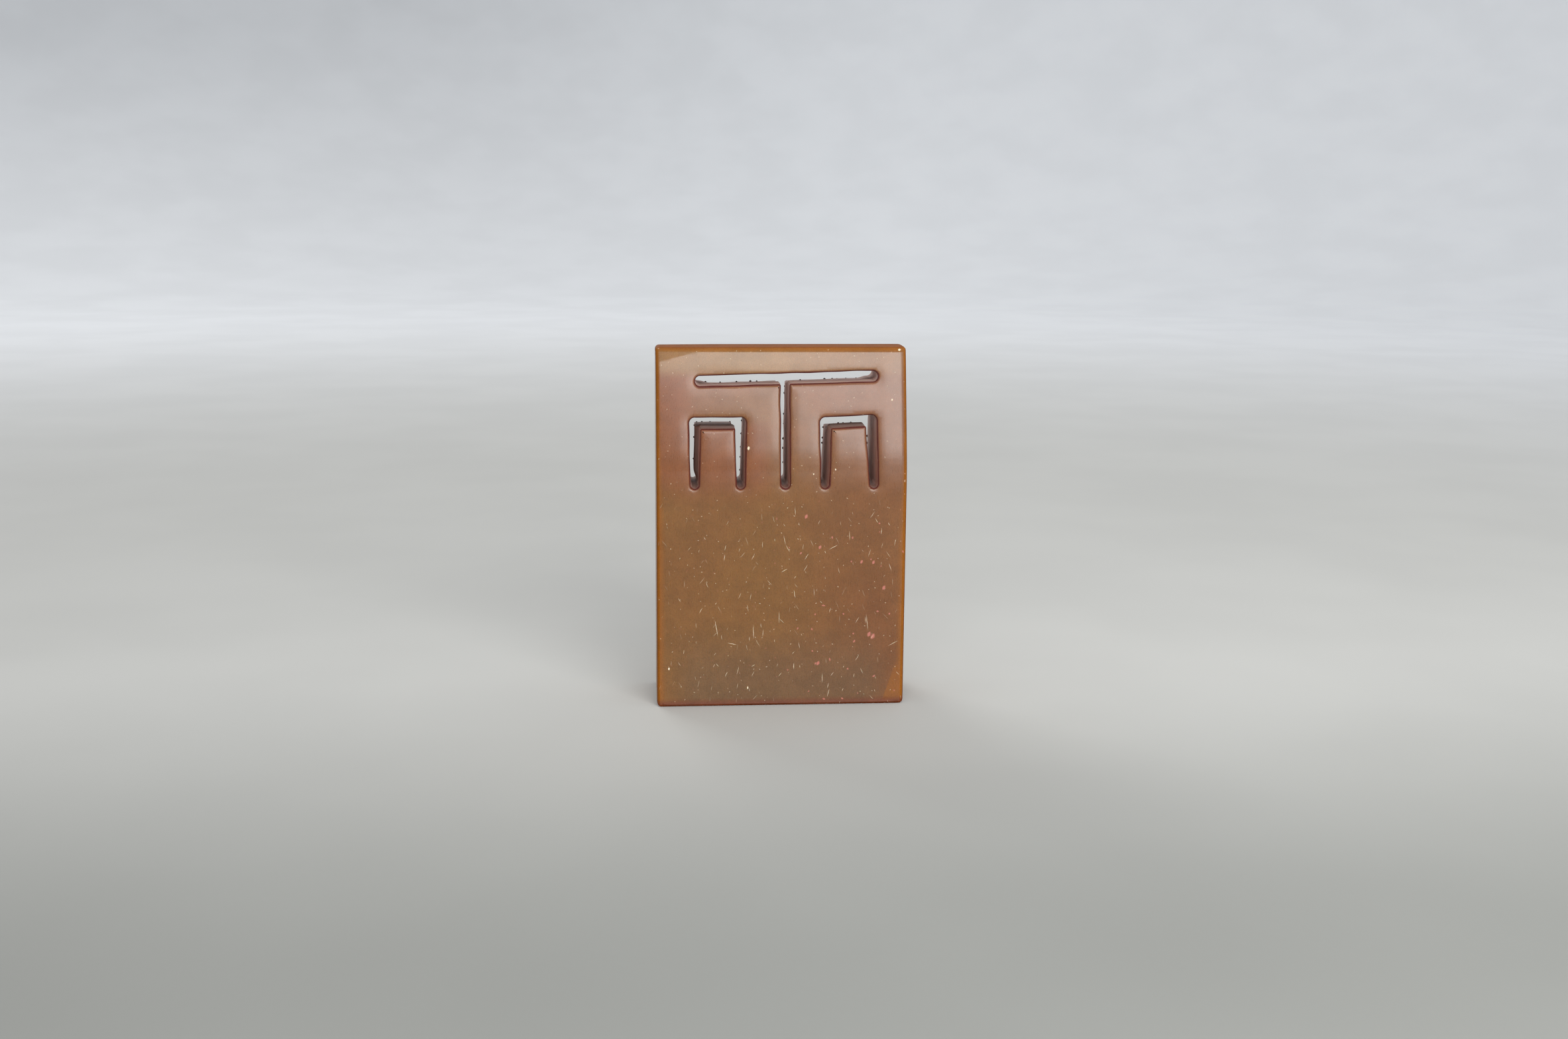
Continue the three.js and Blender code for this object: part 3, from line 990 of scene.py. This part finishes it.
# Marks scattered all over, in millimetres and radians: shift, cell, length, width, spread of lean, chance
SCATTERED_MARKS = {
    "fine scratches": ((0, 0, 0), 2.4, 1.5, 0.12, 1.6, 0.55),
    "pale specks": ((0, 0, 0), 1.5, 0.3, 0.16, 6.0, 0.3),
    "pink specks": ((40, 15, 0), 3.4, 0.6, 0.4, 3.0, 0.5),
    "pores": ((70, 55, 0), 2.1, 0.22, 0.14, 6.0, 0.2),
}


def front_marks(tree, groups, ragged, marks):
    """The strongest of several placed strokes. A mark is (x, z, length, width, lean, strength)."""
    total = 0.0
    for x, z, length, width, lean, strength in marks:
        inputs = {
            "Offset": vector_maths(tree, "SUBTRACT", ragged, (x, z, 0)),
            "Lean": math.radians(lean), "Length": length, "Width": width,
        }
        total = most(tree, total, times(tree, placed(tree, groups["stroke"], inputs)["Mask"], strength))
    return total


def scattered_marks(tree, groups, ragged, kind):
    """The mask of one kind of scattered marks."""
    shift, cell, length, width, lean_spread, chance = SCATTERED_MARKS[kind]
    return placed(tree, groups["scatter"], {
        "Place": vector_maths(tree, "ADD", ragged, shift), "Cell": cell, "Length": length, "Width": width,
        "Lean Spread": lean_spread, "Chance": chance,
    })["Mask"]


# The colour of the outer stone, with some painted sheen, glow and shade. Reaches of the fades are in
# millimetres
def body_colour(tree, figure, x, z):
    """Olive on the left, russet on the right, rosy towards the top and greyer low in the middle; warmer and
    darker on the left, partly as painted shade, and a painted sheen above the brow.
    """
    redness = maths(tree, "MULTIPLY_ADD", figure["Cloud"], 0.35, fade(tree, x, -5.0, 18.0, 0.0, 0.65))
    body = tint(tree, redness, OLIVE_BROWN, RUSSET_BROWN)
    upper = times(tree, fade(tree, z, 36.0, HEIGHT / MM), fade(tree, figure["Cloud"], 0.0, 1.0, 0.5, 1.0))
    body = tint(tree, upper, body, ROSE_BROWN)
    # Painted shade, partly the stone's warmer tone: a darker, redder brown on the left that takes back sheen
    beside_eye = most(tree, fade(tree, z, 54.0, 51.0), fade(tree, x, -15.0, -19.0))
    warm_tone_and_shade = times(tree, fade(tree, z, 37.0, 44.0), fade(tree, x, 0.0, -5.0, 0.0, 0.75), beside_eye)
    body = tint(tree, warm_tone_and_shade, body, WARM_BROWN_AND_SHADE)
    # Painted sheen: a paler band above the brow
    painted_sheen_above_brow = times(tree, fade(tree, z, 60.0, 62.5), fade(tree, x, -5.0, 20.0, 0.5, 0.22))
    body = tint(tree, painted_sheen_above_brow, body, PAINTED_SHEEN_BROWN)
    from_middle = maths(tree, "ABSOLUTE", x)
    low_middle = times(tree, fade(tree, z, 18.0, 3.0), fade(tree, from_middle, 22.0, 15.0), 0.7)
    return tint(tree, low_middle, body, GREY_BROWN)


def edge_colour(tree, body, top, x, z):
    """Amber at the side edges and the top, partly the stone's own and partly painted glow, a painted shade
    line along the outline, and a red-brown top and foot.
    """
    facing = facing_of(tree)
    side_gap = maths(tree, "SUBTRACT", HALF_WIDTH / MM, maths(tree, "ABSOLUTE", x))
    flat_side = fade(tree, maths(tree, "ABSOLUTE", facing["X"]), 0.988, 0.998)
    edge = fade(tree, side_gap, fade(tree, z, 30.0, 50.0, 2.0, 1.2), 0.4)
    patch_side = maths(tree, "SUBTRACT", x, maths(tree, "MULTIPLY_ADD", z, 0.33, 18.6))
    patch = times(tree, fade(tree, patch_side, -0.15, 0.15), fade(tree, z, 8.0, 7.0, 0.0, 0.6))
    # Painted glow, partly the stone's own amber: light coming through the thin edges and the top
    amber_and_glow = times(tree, most(tree, edge, top, patch), fade(tree, flat_side, 0.0, 1.0, 1.0, 0.45))
    body = tint(tree, amber_and_glow, body, AMBER_AND_GLOW)
    # Painted shade: a dark line along the outline, stronger on the right
    outline_shade = times(tree, fade(tree, side_gap, 0.5, 0.1), fade(tree, x, -1.0, 1.0, 0.5, 0.9))
    body = tint(tree, times(tree, outline_shade, fade(tree, flat_side, 1.0, 0.0)), body, EDGE_SHADE_BROWN)
    body = tint(tree, fade(tree, facing["Z"], 0.7, 0.92), body, TOP_BROWN)
    return tint(tree, fade(tree, z, 1.8, 0.4, 0.0, 0.9), body, FOOT_RED)


def handling_marks(tree, groups, place):
    """Masks of the pale scratches, specks and painted corner glints, of the pink flecks and of the dark
    pores.
    """
    x, y, z = apart(tree, place)
    facing_y = facing_of(tree)["Y"]
    front = fade(tree, facing_y, -0.7, -0.9)
    broad = fade(tree, maths(tree, "ABSOLUTE", facing_y), 0.7, 0.9)
    lower_broad = times(tree, fade(tree, z, 40.0, 34.0), broad)
    flat_place = node(tree, "ShaderNodeCombineXYZ", {0: x, 1: z}).outputs[0]
    sway = node(tree, "ShaderNodeTexNoise", {"Vector": place, "Scale": 2.5, "Detail": 2.0}).outputs["Color"]
    sway = vector_maths(tree, "SUBTRACT", sway, (0.5, 0.5, 0.5))
    sway = vector_maths(tree, "MULTIPLY", sway, (0.16, 0.16, 0))
    ragged = vector_maths(tree, "ADD", flat_place, sway)

    scratches = [(x0, z0, length, SCRATCH_WIDTH, lean, share) for x0, z0, length, lean, share in SCRATCHES]
    flecks = [(x0, z0, size * FLECK_STRETCH, size, FLECK_LEAN, FLECK_STRENGTH) for x0, z0, size in FLECKS]
    nicks = [(x0, z0, size * FLECK_STRETCH, size, 0, 1.0) for x0, z0, size in NICKS]
    # Painted highlights at the top corners, drawn as pale nicks
    corner_glint_marks = [(x0, z0, size, size * FLECK_STRETCH, 0, 1.0) for x0, z0, size in CORNER_GLINTS]
    scratch = times(tree, front_marks(tree, groups, ragged, scratches), front, SCRATCH_SHARE)
    fleck = times(tree, front_marks(tree, groups, ragged, flecks), front)
    nick = times(tree, front_marks(tree, groups, ragged, nicks), front)
    corner_glint = times(tree, front_marks(tree, groups, ragged, corner_glint_marks), fade(tree, y, -2.6, -3.0))

    drift = fade(tree, clouds(tree, place, 8, 2.0), 0.4, 0.6, 0.15, 0.6)
    right_share = fade(tree, x, -6.0, 6.0, 0.1, 0.8)
    fine = times(tree, scattered_marks(tree, groups, ragged, "fine scratches"), lower_broad, drift)
    specks = times(tree, scattered_marks(tree, groups, ragged, "pale specks"), broad, 0.5)
    pink_specks = times(tree, scattered_marks(tree, groups, ragged, "pink specks"), lower_broad, right_share)
    pores = times(tree, scattered_marks(tree, groups, ragged, "pores"), broad, 0.5)
    return most(tree, scratch, nick, corner_glint, fine, specks), most(tree, fleck, pink_specks), pores


def make_polished_stone(groups, name, specular, dullness):
    """The outer stone, glossy where it is polished, and duller at the edges that handling has rubbed."""
    material, tree, shader, place = start_material(name)
    figure = placed(tree, groups["figure"], {"Place": place})
    x, _, z = apart(tree, place)
    top = fade(tree, z, HEIGHT / MM - 1.1, HEIGHT / MM - 0.5, 0.0, 0.75)
    body = edge_colour(tree, body_colour(tree, figure, x, z), top, x, z)
    # Painted shade: a dark red line on the rolled rims of the slots
    rim_shade = node(tree, "ShaderNodeAttribute", attribute_name="rim_shade").outputs["Fac"]
    body = tint(tree, fade(tree, rim_shade, 0.4, 0.75), body, RIM_SHADE_AND_PORE_RED)
    grain = fade(tree, figure["Grain"], 0.25, 0.75, 0.88, 1.12)
    body = shaded(tree, body, times(tree, grain, figure["Mottle"]))
    pale, fleck, pores = handling_marks(tree, groups, place)
    body = tint(tree, fleck, body, FLECK_PINK)
    body = tint(tree, pale, body, SCRATCH_CREAM)
    body = tint(tree, pores, body, RIM_SHADE_AND_PORE_RED)

    streaks = clouds(tree, place, 0.16, 2.0, 0.6, (1, 1, 0.1))
    gloss = fade(tree, streaks, 0.3, 0.7, 0.27, 0.32)
    roughness = maths(tree, "ADD", maths(tree, "MULTIPLY_ADD", pale, 0.3, gloss), dullness)
    roughness = maths(tree, "ADD", roughness, fade(tree, z, 1.2, 0.4, 0.0, 0.35))
    normal = bumped(tree, figure["Ripple"], 0.045 * MM)
    normal = bumped(tree, figure["Grain"], 0.005 * MM, 1.0, normal)
    feed(tree, shader, {
        "Base Color": body, "Normal": normal, "Roughness": roughness, "Specular IOR Level": specular,
        "Coat Weight": times(tree, top, specular), "Coat Roughness": 0.1,
        "Subsurface Weight": 0.2, **STONE_GLOW,
    })
    return material


def make_sawn_stone():
    """The rough slot walls: grey saw grooves over brown, browner in front, with painted shade on what faces
    up.
    """
    material, tree, shader, place = start_material("sawn_stone")
    _, y, z = apart(tree, place)
    grooves = clouds(tree, place, 0.5, 2.0, 0.6, (0.12, 1, 0.12))
    rear = fade(tree, y, -6.5, -4.0, 0.1, 0.75)
    greyness = maths(tree, "MULTIPLY_ADD", fade(tree, grooves, 0.35, 0.65), 0.3, rear)
    body = tint(tree, greyness, SAWN_BROWN, SAWN_GREY)
    # Painted shade: slot walls that face up are darkened, most below the brow
    facing_up = fade(tree, facing_of(tree)["Z"], 0.4, 0.8)
    in_brow = fade(tree, z, EYE_HEIGHT / MM + 2, EYE_HEIGHT / MM + 3)
    body = tint(tree, times(tree, facing_up, fade(tree, in_brow, 1.0, 0.0, 0.1, 0.45)), body, DIRT_AND_SHADE)
    normal = bumped(tree, grooves, 0.12 * MM)
    feed(tree, shader, {
        "Base Color": body, "Normal": normal, "Roughness": 0.7, "Subsurface Weight": 0.12, **STONE_GLOW,
    })
    return material


def make_stained_stone(groups):
    """The seal face, stained in blotches by old paste."""
    material, tree, shader, place = start_material("stained_stone")
    figure = placed(tree, groups["figure"], {"Place": place})
    stain = fade(tree, clouds(tree, place, 1.6, 5.0, 0.65), 0.35, 0.62)
    body = tint(tree, stain, RUSSET_BROWN, PASTE_DARK)
    normal = bumped(tree, figure["Grain"], 0.01 * MM)
    feed(tree, shader, {"Base Color": body, "Normal": normal, "Roughness": 0.5, "IOR": STONE_IOR})
    return material


def make_old_dirt(groups):
    material, tree, shader, place = start_material("old_dirt")
    figure = placed(tree, groups["figure"], {"Place": place})
    body = tint(tree, times(tree, figure["Grain"], 0.2), DIRT_AND_SHADE, SAWN_BROWN)
    feed(tree, shader, {"Base Color": body, "Roughness": 0.85})
    return material


def make_dried_paste():
    material, tree, shader, place = start_material("dried_seal_paste")
    crust = clouds(tree, place, 0.35, 5.0, 0.65)
    body = tint(tree, fade(tree, crust, 0.35, 0.65), PASTE_DARK, PASTE_BRIGHT)
    normal = bumped(tree, crust, 0.1 * MM)
    feed(tree, shader, {"Base Color": body, "Normal": normal, "Roughness": 0.62})
    return material


SMOOTHING_ANGLE = math.radians(35)


def finish_surface(piece, materials):
    """Give the piece its materials in order, also in the empty slots that a boolean leaves, and smooth it."""
    slots = piece.data.materials
    for index, material in enumerate(materials):
        if index < len(slots):
            slots[index] = material
        else:
            slots.append(material)
    work_on(piece)
    bpy.ops.object.shade_smooth_by_angle(angle=SMOOTHING_ANGLE)
    apply_modifier(piece, "WEIGHTED_NORMAL", keep_sharp=True)


# The camera stands where the photograph was taken from: a little left of the stone's middle, looking down
CAMERA_PLACE = Vector((-25.4, -315.6, 94.5)) * MM
CAMERA_TURN = math.radians(4.777)
CAMERA_TILT = math.radians(10.91)
CAMERA_ROLL = math.radians(0.49)
CAMERA_LENS = 39.68
FRAME_WIDTH = 36


def set_camera():
    data = bpy.data.cameras.new("camera")
    camera = bpy.data.objects.new("camera", data)
    bpy.context.scene.collection.objects.link(camera)
    data.sensor_width = FRAME_WIDTH
    data.lens = CAMERA_LENS
    data.clip_start = 0.01
    aim = Matrix.Rotation(-CAMERA_TURN, 4, "Z") @ Matrix.Rotation(math.pi / 2 - CAMERA_TILT, 4, "X")
    camera.matrix_world = Matrix.Translation(CAMERA_PLACE) @ aim @ Matrix.Rotation(CAMERA_ROLL, 4, "Z")
    bpy.context.scene.camera = camera


# The studio: a round floor that sweeps up into a low wall, soft lamps and a pale sky
FLOOR_RADIUS = 1.1
FLOOR_SIDES = 96
SWEEP_RADIUS = 0.7
SWEEP_STEPS = 12
NEAR_CLOTH_SHADE = (0.30, 0.305, 0.285, 1)
FOOT_CLOTH = (0.63, 0.63, 0.60, 1)
FAR_CLOTH_LIGHT = (0.90, 0.92, 0.94, 1)
SKY_COLOUR = (0.97, 0.98, 1.0, 1)
SKY_STRENGTH = 0.57

# The lamps, all aimed at the middle of the stone. A lamp is (name, place, width, height, power)
LAMP_AIM = Vector((0, 0, 0.035))
LAMPS = (
    ("key_softbox", (0.039, -0.377, 0.307), 0.42, 0.135, 0.8),
    ("side_softbox", (0.150, -0.380, 0.175), 0.24, 0.15, 0.67),
    ("back_softbox", (-0.50, 1.0, 0.90), 0.6, 0.6, 4.0),
)


def make_pale_floor():
    """Pale cloth with painted light: darker in front of the stone, paler far off and to the right. Reaches
    are in millimetres.
    """
    material, tree, shader, place = start_material("pale_floor")
    x, y, _ = apart(tree, place)
    reach = node(tree, "ShaderNodeVectorMath", {0: place}, operation="LENGTH").outputs["Value"]
    # Painted shade in front of the stone, painted light far off and towards the right
    painted_front_shade = times(tree, fade(tree, y, 30.0, -130.0), fade(tree, reach, 600.0, 300.0))
    body = tint(tree, painted_front_shade, FOOT_CLOTH, NEAR_CLOTH_SHADE)
    body = tint(tree, fade(tree, reach, 200.0, 1000.0), body, FAR_CLOTH_LIGHT)
    shade = fade(tree, clouds(tree, place, 60, 2.0), 0.3, 0.7, 0.98, 1.02)
    body = shaded(tree, body, times(tree, shade, fade(tree, x, -300.0, 300.0, 0.92, 1.06)))
    feed(tree, shader, {"Base Color": body, "Roughness": 0.9})
    return material


def lay_floor():
    """A disc whose rim is extruded outwards and up, step by step along a quarter of a circle."""
    bpy.ops.object.select_all(action="DESELECT")
    bpy.ops.mesh.primitive_circle_add(
        vertices=FLOOR_SIDES, radius=FLOOR_RADIUS, fill_type="NGON", location=(0, 0, 0)
    )
    floor = bpy.context.object
    floor.name = "floor_sweep"
    for step in range(SWEEP_STEPS):
        before = step / SWEEP_STEPS * math.pi / 2
        after = (step + 1) / SWEEP_STEPS * math.pi / 2
        was = FLOOR_RADIUS + SWEEP_RADIUS * math.sin(before)
        out = FLOOR_RADIUS + SWEEP_RADIUS * math.sin(after)
        level = SWEEP_RADIUS * (1 - math.cos(before))
        rise = SWEEP_RADIUS * (math.cos(before) - math.cos(after))
        reach = math.hypot(was, level)

        def on_rim(edge):
            return all(near(v.co.z, level, MM) and near(v.co.length, reach, MM) for v in edge.verts)

        pick(floor, "EDGE", on_rim)
        bpy.ops.mesh.extrude_edges_move(TRANSFORM_OT_translate={"value": (0, 0, rise)})
        bpy.ops.transform.resize(value=(out / was, out / was, 1), center_override=(0, 0, 0))
        object_mode()
    pick(floor, "FACE", everything)
    bpy.ops.mesh.normals_make_consistent(inside=True)
    object_mode()
    floor.data.materials.append(make_pale_floor())
    work_on(floor)
    bpy.ops.object.shade_smooth()


def set_sky():
    world = bpy.data.worlds.new("studio")
    bpy.context.scene.world = world
    world.use_nodes = True
    background = world.node_tree.nodes["Background"]
    background.inputs["Color"].default_value = SKY_COLOUR
    background.inputs["Strength"].default_value = SKY_STRENGTH


def hang_lamp(name, place, width, height, power):
    data = bpy.data.lights.new(name, "AREA")
    data.shape = "RECTANGLE"
    data.size = width
    data.size_y = height
    data.energy = power
    lamp = bpy.data.objects.new(name, data)
    lamp.visible_camera = False
    bpy.context.scene.collection.objects.link(lamp)
    way = LAMP_AIM - Vector(place)
    lamp.matrix_world = Matrix.Translation(place) @ way.to_track_quat("-Z", "Y").to_matrix().to_4x4()


set_camera()
stroke_group = build_stroke()
groups = {
    "figure": build_stone_figure(),
    "stroke": stroke_group,
    "scatter": build_scattered_strokes(stroke_group),
}
stone = model_stone()
finish_surface(stone, [
    make_polished_stone(groups, "polished_stone", 0.5, 0.0),
    make_sawn_stone(),
    make_stained_stone(groups),
    make_polished_stone(groups, "rubbed_stone", 0.04, 0.3),
    make_old_dirt(groups),
])
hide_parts("seal_stone")
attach(stone, "root")

paste = model_paste()
finish_surface(paste, [make_dried_paste()])
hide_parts("vermilion_paste")
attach(paste, "root")

lay_floor()
set_sky()
for lamp in LAMPS:
    hang_lamp(*lamp)
bpy.context.scene.view_settings.view_transform = "Standard"
